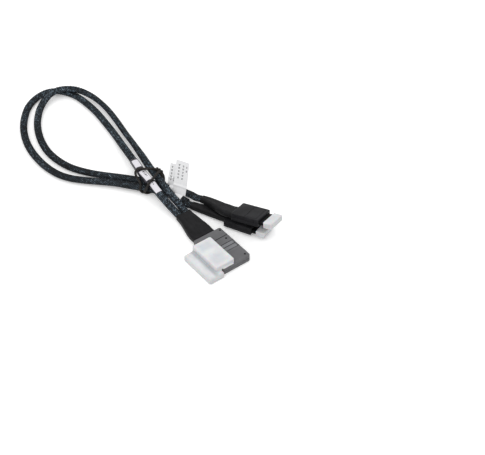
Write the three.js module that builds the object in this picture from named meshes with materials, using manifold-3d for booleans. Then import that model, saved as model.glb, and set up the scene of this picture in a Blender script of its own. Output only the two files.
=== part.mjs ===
// A flat breakout cable: one wide side-exit plug, two flat braided cables, two small plugs.
// Millimetres, +Z up. Origin: centre of the wide housing's underside.
// +X runs from the cable entry to the housing's far end; the mating side faces -Y.
import * as THREE from 'three';
import * as BufferGeometryUtils from 'three/addons/utils/BufferGeometryUtils.js';
import Module from 'manifold-3d';

const wasm = await Module();
wasm.setup();

// Clearances
const fitGap = 0.3;
const slideGap = 0.4;
const overcut = 1;

// Cable section and marker sleeve
const cableWidth = 5.6;
const cableThick = 3.8;
const cableSides = 10;
const cableLead = 5;
const lowerCableSteps = 38;
const upperCableSteps = 36;
const markerWall = 0.35;
const markerFirst = 0.076;
const markerLast = 0.164;
const markerSteps = 8;

// Wide housing
const wideLength = 36;
const wideDepth = 24;
const wideHeight = 5.8;
const wideWall = 1;
const wideSeam = 2.95;
const wideCorner = 1.6;
const wideEdge = 0.4;
const wideGrooveX = -8.7;
const grooveWidth = 0.4;
const grooveDepth = 0.3;
const pinHoleRadius = 0.65;
const pinHoles = [[-15.3, 10.1], [-5.9, 8.5], [15, 9.2]];

// Wide nose and contact card
const wideNoseLeft = -9.7;
const wideNoseRight = 16.5;
const wideNoseReach = 11;
const wideNoseDepthInside = 3.6;
const wideNoseBottom = 1.3;
const wideNoseHeight = 2.8;
const noseWall = 0.55;
const noseFlange = 0.7;
const cardThick = 0.8;
const wideCardLeft = -14;
const wideCardBack = 8.5;

// Wide press latch
const latchLeft = -1.7;
const latchRight = 4.8;
const latchBack = 10.7;
const latchFront = -15.8;
const latchThick = 0.7;
const latchGrooveX = 1.5;
const barbHeight = 1;
const barbLength = 1.7;
const barbWidth = 1;

// Wide dust cap
const capLeft = -11.4;
const capRight = 20.3;
const capReach = 13.1;
const capWall = 1.1;
const capFloor = 0.9;
const capLowerTop = 5.4;
const capUpperLeft = -11.1;
const capUpperRight = 17.6;
const capUpperBack = -1.75;
const capUpperFront = -17.95;
const capUpperTop = 10;
const capCorner = 1.2;
const capEdge = 0.7;
const capLip = 0.9;
const capLipThick = 0.7;

// Wide heat shrink and its wires
const wideShrinkLength = 28.2;
const wideShrinkMouth = [-6.1, 6.6];
const wideShrinkRoot = [-10.3, 7.6];
const wideShrinkBottom = 0.4;
const wideShrinkThick = 5.6;
const shrinkWall = 0.9;
const shrinkEdge = 1.3;
const wideShrinkBore = [-5.4, 5.9];
const wireRadius = 0.35;
const wireSides = 8;
const wideWireCount = 12;
const wideWirePitchMouth = 0.66;
const wideWirePitchCard = 0.9;
const wideWireEnd = -9;

// Small plugs
const smallLength = 22.5;
const smallWidth = 18;
const smallHeight = 5.6;
const smallWall = 0.6;
const smallSeam = 2.85;
const smallCorner = 0.8;
const smallEdge = 0.35;
const smallNoseHalf = 7.2;
const smallNoseReach = 8.5;
const smallNoseInside = 4;
const smallNoseBottom = 1.1;
const smallNoseHeight = 2.4;
const smallNoseWall = 0.45;
const smallCardBack = 4;
const smallPanelBack = 10.6;
const smallPanelFront = 20.1;
const smallPanelHalf = 7.7;
const smallSideSeamX = 10.6;
const smallDimple = [18.6, 4.1];
const smallDimpleRadius = 0.7;
const smallCapBack = 26;
const smallCapFront = 33;
const smallCapHalf = 8.3;
const smallCapWall = 0.8;
const smallCapCorner = 0.9;
const smallCapEdge = 0.6;
const smallShrinkRoot = [-8, 3.8];
const smallShrinkBottom = 0.1;
const smallShrinkThick = 4.9;
const smallMouthHalf = 3.15;
const smallBoreRoot = [-5.9, 1.7];
const smallBoreMouthHalf = 2.35;
const smallWireCount = 6;
const smallWirePitchMouth = 0.65;
const smallWirePitchCard = 1;
const smallWireEnd = 6.5;

// Where the small plugs lie: the lower one on the table, the upper one on top of it
const lowerPlug = { at: [-24.3, 25.2, 0.95], roll: -5.5, pitch: 1.8, yaw: 24, mouth: [-30.6, -1.1] };
const upperPlug = { at: [-18.5, 28.3, 8.4], roll: -10.9, pitch: 7.4, yaw: 22.6, mouth: [-32.2, 3.8] };

// Flag labels
const flagThick = 0.4;
const flagWrapWall = 0.3;
const flagWrapSteps = 3;
const flagFoot = 2.3;
const flagWrapLength = 7;
const lowerFlag = { share: 0.959, side: 1.9, lean: -21, turn: -1, yaw: 1, width: 11, height: 25.5 };
const upperFlag = { share: 0.932, side: 0.4, lean: -17, turn: 4, yaw: 4, width: 10, height: 21 };

// Twist tie
const tieRadius = 0.75;
const tieSteps = 52;
const tieSides = 8;
const tiePitch = 2.1;
const tieFirstX = -99.2;
const tieKnotRadius = 1.9;

// The cable that lies nearer the wide plug's mating side; it ends in the lower small plug
const lowerRoute = [
  [-46.8, -2.7, 3.2], [-53, -2.9, 4.2], [-60.5, -3.3, 6], [-73, -3.4, 8.6], [-86, -1.6, 9], [-98.6, -0.5, 9],
  [-116, 3.5, 7.4], [-139.5, 8.7, 4.8], [-158.8, 12.9, 3], [-177, 15.6, 2.6], [-192.5, 17.3, 2.5],
  [-208, 17.4, 2.4], [-220, 16.1, 2.4], [-229.4, 12.6, 2.4], [-236.9, 7, 2.4], [-240.2, 0.2, 2.4],
  [-240, -7.2, 2.4], [-237.1, -15.3, 2.4], [-231.8, -23.3, 2.4], [-222.3, -32, 2.4], [-210.8, -39.7, 2.4],
  [-198.8, -45.2, 2.4], [-185, -49.1, 2.4], [-170.4, -50.8, 2.4], [-156.3, -50.4, 2.4], [-143.2, -47.6, 2.5],
  [-133.5, -42.7, 2.7], [-125.6, -36.3, 2.9], [-117.3, -28.6, 3.2], [-107.5, -19.9, 3.7],
  [-98.3, -13.1, 3.9], [-89.7, -6.6, 3.7], [-79.8, 0.9, 3.2], [-71, 5.8, 2.8], [-65, 8.6, 2.6],
  [-58.5, 11, 2.6],
];
// The cable on the far side; it ends in the upper small plug
const upperRoute = [
  [-46.8, 3.2, 3.2], [-52, 3.3, 4.1], [-56.8, 3.5, 5.4], [-64.8, 3.3, 7.2], [-74.3, 4.2, 8.3],
  [-86.4, 6, 8.5], [-101, 8.2, 8.3], [-120.6, 13.1, 6.2], [-137, 16.8, 4.8], [-152.9, 19.8, 3.9],
  [-171.4, 23.5, 3.4],
  [-187.8, 25.9, 3.4], [-202.5, 26.1, 3.8], [-213.4, 23.9, 4.8], [-222.1, 19.6, 6], [-227.8, 14, 6.8],
  [-232, 5, 6.9], [-231.6, -2.2, 6.2], [-228.8, -9.5, 4.6], [-223.7, -16.7, 3.2], [-215.7, -23.5, 2.5],
  [-207.2, -29, 2.4], [-195.7, -34.4, 2.4], [-183.4, -38.2, 2.4], [-171.2, -40, 2.4], [-158.6, -39.4, 2.4],
  [-146.2, -36.5, 2.5], [-137.6, -32.5, 2.6], [-127.5, -26.3, 2.9], [-118.2, -19.2, 3.3], [-109.2, -12, 3.8],
  [-99.4, -4.3, 3.9], [-89.2, 2.4, 3.7], [-78.4, 9.4, 3.3], [-68.8, 14.6, 3.4], [-60.2, 17.1, 4.6],
];
// One turn of the tie round the four cable runs, seen along X: [y, z]
const tieTurn = [
  [12.6, 9.4], [8.6, 11.4], [3.4, 12.4], [-0.8, 12.8], [-4.8, 12], [-9, 10.2], [-13.6, 8], [-17.6, 5.8],
  [-18.4, 3], [-13.8, 1.1], [-6, 1], [0.4, 1.1], [5.2, 2.7], [10, 4.8], [12.8, 6.9],
];

// Finishes
const finishes = {
  housingGrey: { color: 0x6a6a6c, roughness: 0.5, metalness: 0.1 },
  latchGrey: { color: 0x808184, roughness: 0.4, metalness: 0.3 },
  smallBlack: { color: 0x2b2c2e, roughness: 0.5, metalness: 0.05 },
  noseBlack: { color: 0x1c1c1e, roughness: 0.5, metalness: 0 },
  cardGreen: { color: 0x1f4a33, roughness: 0.5, metalness: 0 },
  milkyWhite: { color: 0xe2e3e6, roughness: 0.4, metalness: 0 },
  shrinkBlack: { color: 0x232325, roughness: 0.6, metalness: 0 },
  wireBlue: { color: 0x5d6f86, roughness: 0.5, metalness: 0 },
  braid: { color: 0x2c3540, roughness: 0.6, metalness: 0.1 },
  clearFilm: { color: 0x30343a, roughness: 0.3, metalness: 0 },
  labelWhite: { color: 0xe9e9ea, roughness: 0.6, metalness: 0 },
  tieBlack: { color: 0x2a2826, roughness: 0.7, metalness: 0 },
};

const part = new THREE.Group();

function addPiece(parent, name, solid, finish) {
  const result = solid.getMesh();
  const geometry = new THREE.BufferGeometry();
  geometry.setAttribute('position', new THREE.BufferAttribute(result.vertProperties, 3));
  geometry.setIndex(new THREE.BufferAttribute(result.triVerts, 1));
  geometry.computeVertexNormals();
  const mesh = new THREE.Mesh(geometry, new THREE.MeshStandardMaterial(finishes[finish]));
  mesh.name = name;
  parent.add(mesh);
}

function solidFrom(geometry) {
  const bare = geometry.clone();
  bare.deleteAttribute('normal');
  bare.deleteAttribute('uv');
  const merged = BufferGeometryUtils.mergeVertices(bare, 1e-4);
  const vertProperties = new Float32Array(merged.attributes.position.array);
  const triVerts = new Uint32Array(merged.index.array);
  return new wasm.Manifold(new wasm.Mesh({ numProp: 3, vertProperties, triVerts }));
}

// A plain block between two corners
function block(x, y, z) {
  const geometry = new THREE.BoxGeometry(x[1] - x[0], y[1] - y[0], z[1] - z[0]);
  geometry.translate((x[0] + x[1]) / 2, (y[0] + y[1]) / 2, (z[0] + z[1]) / 2);
  return solidFrom(geometry);
}

// A plan outline raised from one height to another, its edges eased by a bevel
function slab(shape, z, edge) {
  const depth = z[1] - z[0] - 2 * edge;
  const geometry = new THREE.ExtrudeGeometry(shape, {
    depth,
    curveSegments: 6,
    bevelEnabled: edge > 0,
    bevelThickness: edge,
    bevelSize: edge,
    bevelOffset: -edge,
    bevelSegments: 2,
  });
  geometry.translate(0, 0, z[0] + edge);
  return solidFrom(geometry);
}

function roundedOutline(x, y, radius) {
  const shape = new THREE.Shape();
  shape.moveTo(x[0] + radius, y[0]);
  shape.lineTo(x[1] - radius, y[0]);
  shape.absarc(x[1] - radius, y[0] + radius, radius, -Math.PI / 2, 0);
  shape.lineTo(x[1], y[1] - radius);
  shape.absarc(x[1] - radius, y[1] - radius, radius, 0, Math.PI / 2);
  shape.lineTo(x[0] + radius, y[1]);
  shape.absarc(x[0] + radius, y[1] - radius, radius, Math.PI / 2, Math.PI);
  shape.lineTo(x[0], y[0] + radius);
  shape.absarc(x[0] + radius, y[0] + radius, radius, Math.PI, Math.PI * 1.5);
  return shape;
}

function upright(radius, x, y, z) {
  const geometry = new THREE.CylinderGeometry(radius, radius, z[1] - z[0], 16);
  geometry.rotateX(Math.PI / 2);
  geometry.translate(x, y, (z[0] + z[1]) / 2);
  return solidFrom(geometry);
}

// A route whose section stays flat: its width lies level, across the direction of travel
class FlatRoute extends THREE.CatmullRomCurve3 {
  computeFrenetFrames(segments) {
    const tangents = [];
    const normals = [];
    const binormals = [];
    const up = new THREE.Vector3(0, 0, 1);
    for (let i = 0; i <= segments; i += 1) {
      const tangent = this.getTangentAt(i / segments);
      const across = new THREE.Vector3().crossVectors(up, tangent).normalize();
      tangents.push(tangent);
      normals.push(across);
      binormals.push(new THREE.Vector3().crossVectors(tangent, across).normalize());
    }
    return { tangents, normals, binormals };
  }
}

// A stretch of a longer route, from one share of its length to another
class Stretch extends FlatRoute {
  constructor(route, first, last, count) {
    const points = [];
    for (let i = 0; i <= count; i += 1) {
      points.push(route.getPointAt(first + ((last - first) * i) / count));
    }
    super(points);
  }
}

function toVectors(points) {
  return points.map((point) => new THREE.Vector3(...point));
}

function ovalOutline(width, thick) {
  const shape = new THREE.Shape();
  const half = thick / 2;
  const straight = (width - thick) / 2;
  shape.moveTo(straight, -half);
  shape.absarc(straight, 0, half, -Math.PI / 2, Math.PI / 2);
  shape.lineTo(-straight, half);
  shape.absarc(-straight, 0, half, Math.PI / 2, Math.PI * 1.5);
  return shape;
}

function sweep(shape, extrudePath, steps, curveSegments) {
  const settings = { steps, curveSegments, extrudePath, bevelEnabled: false };
  return solidFrom(new THREE.ExtrudeGeometry(shape, settings));
}

// A thin sleeve round a stretch of flat cable
function cableSleeve(route, first, last, steps, wall) {
  const path = new Stretch(route, first, last, steps);
  const outer = ovalOutline(cableWidth + 2 * (fitGap + wall), cableThick + 2 * (fitGap + wall));
  outer.holes.push(ovalOutline(cableWidth + 2 * fitGap, cableThick + 2 * fitGap));
  return sweep(outer, path, steps, cableSides / 2);
}

// A ribbon of round wires side by side, spreading from the cable end to the card
function wireRibbon(count, mouth, card, height) {
  let ribbon = null;
  for (let i = 0; i < count; i += 1) {
    const place = i - (count - 1) / 2;
    const path = new THREE.LineCurve3(
      new THREE.Vector3(mouth.x, mouth.y + place * mouth.pitch, height),
      new THREE.Vector3(card.x, card.y + place * card.pitch, height),
    );
    const section = new THREE.Shape().absarc(0, 0, wireRadius, 0, Math.PI * 2);
    const wire = sweep(section, path, 1, wireSides / 2);
    ribbon = ribbon ? ribbon.add(wire) : wire;
  }
  return ribbon;
}

// Heat shrink: a plan outline that widens towards the housing
function shrinkOutline(mouthX, mouthY, rootX, rootY) {
  const shape = new THREE.Shape();
  const span = rootX - mouthX;
  shape.moveTo(mouthX, mouthY[0]);
  shape.bezierCurveTo(
    mouthX + span * 0.55, mouthY[0], rootX - span * 0.45, rootY[0], rootX - span * 0.14, rootY[0],
  );
  shape.lineTo(rootX, rootY[0]);
  shape.lineTo(rootX, rootY[1]);
  shape.lineTo(rootX - span * 0.14, rootY[1]);
  shape.bezierCurveTo(
    rootX - span * 0.45, rootY[1], mouthX + span * 0.55, mouthY[1], mouthX, mouthY[1],
  );
  return shape;
}

// The wires' way through a heat shrink: straight sides, open at both ends
function boreOutline(mouthX, mouthY, rootX, rootY) {
  const shape = new THREE.Shape();
  shape.moveTo(mouthX - overcut, mouthY[0]);
  shape.lineTo(mouthX, mouthY[0]);
  shape.lineTo(rootX, rootY[0]);
  shape.lineTo(rootX + overcut, rootY[0]);
  shape.lineTo(rootX + overcut, rootY[1]);
  shape.lineTo(rootX, rootY[1]);
  shape.lineTo(mouthX, mouthY[1]);
  shape.lineTo(mouthX - overcut, mouthY[1]);
  return shape;
}

// Values that several pieces share
const wideX = [-wideLength / 2, wideLength / 2];
const wideY = [-wideDepth / 2, wideDepth / 2];
const wideInnerX = [wideX[0] + wideWall, wideX[1] - wideWall];
const wideInnerY = [wideY[0] + wideWall, wideY[1] - wideWall];
const wideInnerZ = [wideWall, wideHeight - wideWall];
const wideNoseTop = wideNoseBottom + wideNoseHeight;
const wideNoseFront = wideY[0] - wideNoseReach;
const wideNoseBack = wideY[0] + wideNoseDepthInside;
const wideCardMid = wideNoseBottom + wideNoseHeight / 2;
const wireRise = cardThick / 2 + fitGap + wireRadius;

function wideShell(z) {
  const outer = slab(roundedOutline(wideX, wideY, wideCorner), [0, wideHeight], wideEdge);
  const half = block(
    [wideX[0] - overcut, wideX[1] + overcut], [wideY[0] - overcut, wideY[1] + overcut], z,
  );
  const noseGate = block(
    [wideNoseLeft - fitGap, wideNoseRight + fitGap],
    [wideY[0] - overcut, wideInnerY[0] + overcut],
    [wideNoseBottom - fitGap, wideNoseTop + fitGap],
  );
  const wireGate = block(
    [wideX[0] - overcut, wideInnerX[0] + overcut],
    wideShrinkBore,
    [wideWall, wideCardMid + wireRise + wireRadius + fitGap],
  );
  return outer.intersect(half)
    .subtract(block(wideInnerX, wideInnerY, wideInnerZ))
    .subtract(noseGate)
    .subtract(wireGate);
}

function buildWideHousing() {
  let cover = wideShell([wideSeam + fitGap / 2, wideHeight + overcut]);
  const base = wideShell([-overcut, wideSeam - fitGap / 2]);
  cover = cover.subtract(block(
    [wideGrooveX - grooveWidth / 2, wideGrooveX + grooveWidth / 2],
    [wideY[0] - overcut, wideY[1] + overcut],
    [wideHeight - grooveDepth, wideHeight + overcut],
  ));
  for (const [x, y] of pinHoles) {
    cover = cover.subtract(upright(pinHoleRadius, x, y, [wideInnerZ[1] - overcut, wideHeight + overcut]));
  }
  const latchGate = block(
    [latchLeft - fitGap, latchRight + fitGap],
    [wideY[0] - overcut, latchBack + fitGap],
    [wideNoseTop, wideHeight + overcut],
  );
  addPiece(part, 'wide_cover', cover.subtract(latchGate), 'housingGrey');
  addPiece(part, 'wide_base', base, 'housingGrey');
}

function buildWideNose() {
  const sleeve = block(
    [wideNoseLeft, wideNoseRight], [wideNoseFront, wideNoseBack], [wideNoseBottom, wideNoseTop],
  );
  const flange = block(
    [wideNoseLeft - noseFlange, wideNoseRight + noseFlange - fitGap],
    [wideInnerY[0] + fitGap, wideNoseBack],
    [wideNoseBottom, wideNoseTop],
  );
  const bore = block(
    [wideNoseLeft + noseWall, wideNoseRight - noseWall],
    [wideNoseFront - overcut, wideNoseBack + overcut],
    [wideNoseBottom + noseWall, wideNoseTop - noseWall],
  );
  addPiece(part, 'wide_nose', sleeve.add(flange).subtract(bore), 'noseBlack');

  const cardZ = [wideCardMid - cardThick / 2, wideCardMid + cardThick / 2];
  const tongue = block(
    [wideNoseLeft + noseWall + slideGap, wideNoseRight - noseWall - slideGap],
    [wideNoseFront + slideGap, wideNoseBack + overcut],
    cardZ,
  );
  const body = block(
    [wideCardLeft, wideNoseRight - noseWall - slideGap], [wideNoseBack + fitGap, wideCardBack], cardZ,
  );
  addPiece(part, 'wide_contact_card', tongue.add(body), 'cardGreen');
}

function buildWideLatch() {
  const top = wideHeight;
  const underside = top - latchThick;
  let latch = block([latchLeft, latchRight], [latchFront, latchBack], [underside, top]);
  latch = latch.subtract(block(
    [latchGrooveX - grooveWidth / 2, latchGrooveX + grooveWidth / 2],
    [latchFront - overcut, latchBack + overcut],
    [top - grooveDepth, top + overcut],
  ));
  for (const x of [latchLeft, latchRight - barbWidth]) {
    latch = latch.add(block(
      [x, x + barbWidth], [latchFront, latchFront + barbLength], [underside, top + barbHeight],
    ));
  }
  addPiece(part, 'wide_press_latch', latch, 'latchGrey');
}

function buildWideCap() {
  const capFront = wideY[0] - fitGap - capReach;
  const capBack = wideY[0] - fitGap;
  const lower = slab(
    roundedOutline([capLeft, capRight], [capFront, capBack], capCorner), [0, capLowerTop], capEdge,
  );
  const upperX = [capUpperLeft, capUpperRight];
  const seat = wideHeight + fitGap;
  const upper = slab(
    roundedOutline(upperX, [capUpperFront, capUpperBack], capCorner), [seat - capEdge, capUpperTop], capEdge,
  );
  const neck = block(
    [upperX[0] + capEdge, upperX[1] - capEdge],
    [capUpperFront + capEdge, capBack],
    [capLowerTop - capWall, seat],
  );
  const lip = block(
    [upperX[0] + capCorner, upperX[1] + capLip],
    [capBack, capUpperBack - capCorner],
    [seat, seat + capLipThick],
  );
  const overHousing = block(
    [capLeft - overcut, capRight + overcut], [capBack, capUpperBack + overcut], [-overcut, seat],
  );
  const lowerPocket = block(
    [wideNoseLeft - slideGap, wideNoseRight + slideGap],
    [capFront + capWall, capBack + overcut],
    [capFloor, wideNoseTop + slideGap],
  );
  const upperPocket = block(
    [upperX[0] + capWall, upperX[1] - capWall],
    [capUpperFront + capWall, capUpperBack + overcut],
    [wideNoseTop, capUpperTop - capWall],
  );
  const cap = lower.add(upper).add(neck).add(lip)
    .subtract(overHousing)
    .subtract(lowerPocket)
    .subtract(upperPocket);
  addPiece(part, 'wide_dust_cap', cap, 'milkyWhite');
}

function buildWideShrink() {
  const rootX = wideX[0] - fitGap;
  const mouthX = rootX - wideShrinkLength;
  const z = [wideShrinkBottom, wideShrinkBottom + wideShrinkThick];
  const outer = slab(shrinkOutline(mouthX, wideShrinkMouth, rootX, wideShrinkRoot), z, shrinkEdge);
  const bore = block(
    [mouthX - overcut, rootX + overcut],
    wideShrinkBore,
    [wideWall, wideCardMid + wireRise + wireRadius + fitGap],
  );
  addPiece(part, 'wide_heat_shrink', outer.subtract(bore), 'shrinkBlack');

  const middle = (wideShrinkBore[0] + wideShrinkBore[1]) / 2;
  const mouth = { x: mouthX + fitGap, y: middle, pitch: wideWirePitchMouth };
  const card = { x: wideWireEnd, y: middle, pitch: wideWirePitchCard };
  const upperWires = wireRibbon(wideWireCount, mouth, card, wideCardMid + wireRise);
  const lowerWires = wireRibbon(wideWireCount, mouth, card, wideCardMid - wireRise);
  addPiece(part, 'wide_wires_upper', upperWires, 'wireBlue');
  addPiece(part, 'wide_wires_lower', lowerWires, 'wireBlue');
}

// One small plug, in its own frame: origin under the middle of its back edge, nose towards +X
function buildSmallPlug(prefix, lie) {
  const plug = new THREE.Group();
  plug.position.set(...lie.at);
  const turns = [lie.roll, -lie.pitch, lie.yaw].map((degrees) => THREE.MathUtils.degToRad(degrees));
  plug.rotation.set(...turns, 'ZYX');
  part.add(plug);

  const half = smallWidth / 2;
  const innerX = [smallWall, smallLength - smallWall];
  const innerY = [-half + smallWall, half - smallWall];
  const innerZ = [smallWall, smallHeight - smallWall];
  const noseTop = smallNoseBottom + smallNoseHeight;
  const noseX = [smallLength - smallNoseInside, smallLength + smallNoseReach];
  const cardMid = smallNoseBottom + smallNoseHeight / 2;
  const cardZ = [cardMid - cardThick / 2, cardMid + cardThick / 2];

  function shell(z) {
    const outline = roundedOutline([0, smallLength], [-half, half], smallCorner);
    const outer = slab(outline, [0, smallHeight], smallEdge);
    const noseGate = block(
      [innerX[1] - overcut, smallLength + overcut],
      [-smallNoseHalf - fitGap, smallNoseHalf + fitGap],
      [smallNoseBottom - fitGap, noseTop + fitGap],
    );
    const wireGate = block(
      [-overcut, innerX[0] + overcut], smallBoreRoot, [smallWall, cardMid + wireRise + wireRadius + fitGap],
    );
    return outer.intersect(block([-overcut, smallLength + overcut], [-half - overcut, half + overcut], z))
      .subtract(block(innerX, innerY, innerZ))
      .subtract(noseGate)
      .subtract(wireGate);
  }

  const sideSeam = block(
    [smallSideSeamX - grooveWidth / 2, smallSideSeamX + grooveWidth / 2],
    [-half - overcut, -half + grooveDepth],
    [smallSeam, smallHeight + overcut],
  );
  const dimpleShape = new THREE.CylinderGeometry(smallDimpleRadius, smallDimpleRadius, 2 * grooveDepth, 16);
  dimpleShape.translate(smallDimple[0], -half, smallDimple[1]);
  const panelGate = block(
    [smallPanelBack, smallPanelFront],
    [-smallPanelHalf, smallPanelHalf],
    [innerZ[1] - overcut, smallHeight + overcut],
  );
  const cover = shell([smallSeam + fitGap / 2, smallHeight + overcut])
    .subtract(sideSeam)
    .subtract(solidFrom(dimpleShape))
    .subtract(panelGate);
  addPiece(plug, `${prefix}_cover`, cover, 'smallBlack');
  addPiece(plug, `${prefix}_base`, shell([-overcut, smallSeam - fitGap / 2]), 'smallBlack');

  const nose = block(noseX, [-smallNoseHalf, smallNoseHalf], [smallNoseBottom, noseTop])
    .add(block(
      [noseX[0], innerX[1] - fitGap],
      [-smallNoseHalf - noseFlange, smallNoseHalf + noseFlange],
      [smallNoseBottom, noseTop],
    ))
    .subtract(block(
      [noseX[0] - overcut, noseX[1] + overcut],
      [-smallNoseHalf + smallNoseWall, smallNoseHalf - smallNoseWall],
      [smallNoseBottom + smallNoseWall, noseTop - smallNoseWall],
    ));
  addPiece(plug, `${prefix}_nose`, nose, 'noseBlack');

  const tongueHalf = smallNoseHalf - smallNoseWall - slideGap;
  const card = block([smallCardBack, noseX[1] - slideGap], [-tongueHalf, tongueHalf], cardZ);
  addPiece(plug, `${prefix}_contact_card`, card, 'cardGreen');

  const panel = slab(
    roundedOutline(
      [smallPanelBack + fitGap, smallPanelFront - fitGap],
      [-smallPanelHalf + fitGap, smallPanelHalf - fitGap],
      smallEdge,
    ),
    [smallHeight - latchThick, smallHeight],
    0,
  );
  addPiece(plug, `${prefix}_press_latch`, panel, 'smallBlack');

  const capZ = [smallNoseBottom - slideGap - smallCapWall, noseTop + slideGap + smallCapWall];
  const cap = slab(
    roundedOutline([smallCapBack, smallCapFront], [-smallCapHalf, smallCapHalf], smallCapCorner),
    capZ,
    smallCapEdge,
  ).subtract(block(
    [smallCapBack - overcut, smallCapFront - smallCapWall],
    [-smallNoseHalf - slideGap, smallNoseHalf + slideGap],
    [capZ[0] + smallCapWall, capZ[1] - smallCapWall],
  ));
  addPiece(plug, `${prefix}_dust_cap`, cap, 'milkyWhite');

  const [mouthX, mouthY] = lie.mouth;
  const shrink = slab(
    shrinkOutline(mouthX, [mouthY - smallMouthHalf, mouthY + smallMouthHalf], -fitGap, smallShrinkRoot),
    [smallShrinkBottom, smallShrinkBottom + smallShrinkThick],
    shrinkEdge,
  );
  const bore = slab(
    boreOutline(mouthX, [mouthY - smallBoreMouthHalf, mouthY + smallBoreMouthHalf], -fitGap, smallBoreRoot),
    [cardMid - wireRise - wireRadius - fitGap, cardMid + wireRise + wireRadius + fitGap],
    0,
  );
  addPiece(plug, `${prefix}_heat_shrink`, shrink.subtract(bore), 'shrinkBlack');

  const mouth = { x: mouthX + fitGap, y: mouthY, pitch: smallWirePitchMouth };
  const rootY = (smallBoreRoot[0] + smallBoreRoot[1]) / 2;
  const drift = (rootY - mouthY) / (-fitGap - mouthX);
  const end = { x: smallWireEnd, y: rootY + drift * (smallWireEnd + fitGap), pitch: smallWirePitchCard };
  const rise = { upper: cardMid + wireRise, lower: cardMid - wireRise };
  addPiece(plug, `${prefix}_wires_upper`, wireRibbon(smallWireCount, mouth, end, rise.upper), 'wireBlue');
  addPiece(plug, `${prefix}_wires_lower`, wireRibbon(smallWireCount, mouth, end, rise.lower), 'wireBlue');

  plug.updateMatrixWorld(true);
  return plug;
}

// The cable's last points run straight into the mouth of its small plug's heat shrink
function finishRoute(route, plug, lie) {
  const middle = smallShrinkBottom + smallShrinkThick / 2;
  const last = [cableLead, 0].map((back) => (
    new THREE.Vector3(lie.mouth[0] - fitGap - back, lie.mouth[1], middle).applyMatrix4(plug.matrixWorld)
  ));
  return new FlatRoute([...toVectors(route), ...last]);
}

function buildFlag(name, route, flag) {
  const half = flagWrapLength / 2 / route.getLength();
  const wrap = cableSleeve(route, flag.share - half, flag.share + half, flagWrapSteps, flagWrapWall);
  const at = route.getPointAt(flag.share);
  const along = route.getTangentAt(flag.share);
  const sheet = new THREE.BoxGeometry(flag.width, flagThick, flag.height);
  sheet.translate(0, 0, flag.height / 2);
  sheet.rotateY(THREE.MathUtils.degToRad(flag.turn));
  sheet.rotateX(THREE.MathUtils.degToRad(flag.lean));
  sheet.translate(0, flag.side, flagFoot);
  sheet.rotateZ(Math.atan2(along.y, along.x) + THREE.MathUtils.degToRad(flag.yaw));
  sheet.translate(at.x, at.y, at.z);
  addPiece(part, name, wrap.add(solidFrom(sheet)), 'labelWhite');
}

function buildTwistTie() {
  const points = [];
  for (let turn = 0; turn < 2; turn += 1) {
    tieTurn.forEach(([y, z], i) => {
      const x = tieFirstX + tiePitch * (turn + i / tieTurn.length);
      points.push(new THREE.Vector3(x, y, z));
    });
  }
  const section = new THREE.Shape().absarc(0, 0, tieRadius, 0, Math.PI * 2);
  const wire = sweep(section, new THREE.CatmullRomCurve3(points), tieSteps, tieSides / 2);
  const knotShape = new THREE.SphereGeometry(tieKnotRadius, 16, 10);
  knotShape.scale(1.25, 1, 1);
  const last = points[points.length - 1];
  knotShape.translate(tieFirstX + tiePitch, tieTurn[0][0] + tieRadius, (tieTurn[0][1] + last.z) / 2);
  addPiece(part, 'twist_tie', wire.add(solidFrom(knotShape)), 'tieBlack');
}

buildWideHousing();
buildWideNose();
buildWideLatch();
buildWideCap();
buildWideShrink();
const lowerGroup = buildSmallPlug('lower', lowerPlug);
const upperGroup = buildSmallPlug('upper', upperPlug);

const lowerPath = finishRoute(lowerRoute, lowerGroup, lowerPlug);
const upperPath = finishRoute(upperRoute, upperGroup, upperPlug);
const cableSection = ovalOutline(cableWidth, cableThick);
addPiece(part, 'lower_cable', sweep(cableSection, lowerPath, lowerCableSteps, cableSides / 2), 'braid');
addPiece(part, 'upper_cable', sweep(cableSection, upperPath, upperCableSteps, cableSides / 2), 'braid');
const sleeve = cableSleeve(lowerPath, markerFirst, markerLast, markerSteps, markerWall);
addPiece(part, 'marker_sleeve', sleeve, 'clearFilm');
buildFlag('lower_flag_label', lowerPath, lowerFlag);
buildFlag('upper_flag_label', upperPath, upperFlag);
buildTwistTie();

export default part;
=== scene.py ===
import math

import bmesh
import bpy
from mathutils import Matrix, Vector, noise


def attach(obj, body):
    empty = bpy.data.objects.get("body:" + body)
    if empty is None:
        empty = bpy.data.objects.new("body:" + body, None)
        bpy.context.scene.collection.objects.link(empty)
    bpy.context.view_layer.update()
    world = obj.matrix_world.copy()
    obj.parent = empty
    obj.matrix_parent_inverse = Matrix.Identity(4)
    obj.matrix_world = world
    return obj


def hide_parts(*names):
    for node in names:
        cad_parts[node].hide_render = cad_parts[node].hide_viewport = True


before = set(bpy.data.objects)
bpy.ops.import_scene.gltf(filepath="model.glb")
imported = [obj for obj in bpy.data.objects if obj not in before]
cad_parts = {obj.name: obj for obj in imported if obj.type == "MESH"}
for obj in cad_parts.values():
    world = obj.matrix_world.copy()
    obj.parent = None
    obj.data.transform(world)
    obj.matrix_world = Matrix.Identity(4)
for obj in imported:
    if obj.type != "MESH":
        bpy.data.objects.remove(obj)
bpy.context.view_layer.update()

mm = 0.001
scene = bpy.context.scene
print("frame loaded")

# Camera at the photograph's place
camera = bpy.data.objects.new("photoCamera", bpy.data.cameras.new("photoCamera"))
scene.collection.objects.link(camera)
camera.data.lens = 85
camera.data.sensor_width = 36
camera.location = (0.4703, -0.3469, 0.5702)
aim = Vector((-0.0124, 0.0284, 0))
camera.rotation_euler = (aim - camera.location).to_track_quat("-Z", "Y").to_euler()
scene.camera = camera


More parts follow.
